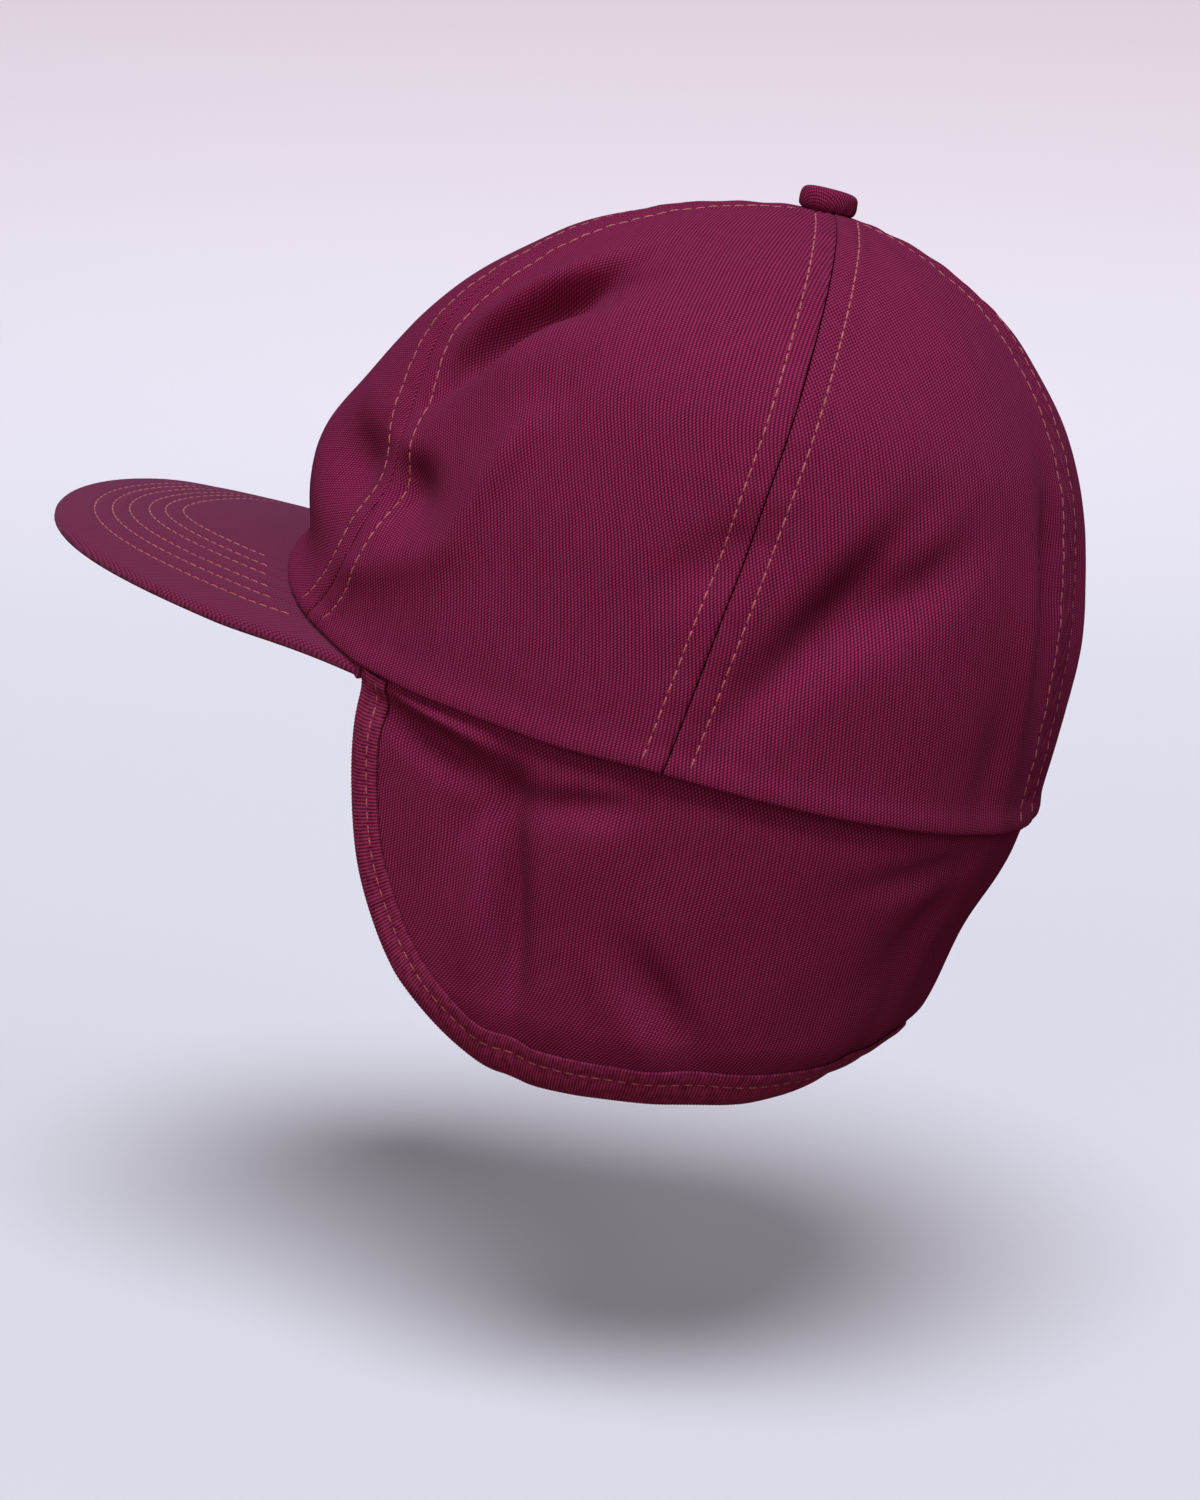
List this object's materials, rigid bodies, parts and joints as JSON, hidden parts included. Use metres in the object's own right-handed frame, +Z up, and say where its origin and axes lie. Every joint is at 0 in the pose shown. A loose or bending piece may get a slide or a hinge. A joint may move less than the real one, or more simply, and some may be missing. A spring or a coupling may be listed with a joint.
{
  "type": "earflap cap",
  "caption": "Cotton twill cap in its worn form: a rounded panelled crown with a covered button, a stiff stitched peak and a bound ear flap hanging from temple to temple round the back.",
  "frame": {"origin": "middle of the head opening, in the plane of the crown's rim at the sides and back, where a head holds the cap", "axes": "+Z up as worn, -Y towards the peak at the front, +X towards the wearer's left; the rim plane is tilted back 13.7 degrees about X"},
  "size_m": [0.165, 0.2777, 0.222],
  "materials": {
    "twill": "matt burgundy cotton twill",
    "peak_twill": "matt burgundy cotton twill over a stiff board",
    "grosgrain": "ribbed burgundy tape with a slight sheen"
  },
  "bodies": {
    "root": {"crown_front_panel": "twill", "crown_side_panel_left": "twill", "crown_side_panel_right": "twill", "crown_back_panel_left": "twill", "crown_back_panel_right": "twill", "top_button": "twill", "peak": "peak_twill", "ear_flap": "twill", "flap_binding": "grosgrain"}
  },
  "joints": []
}
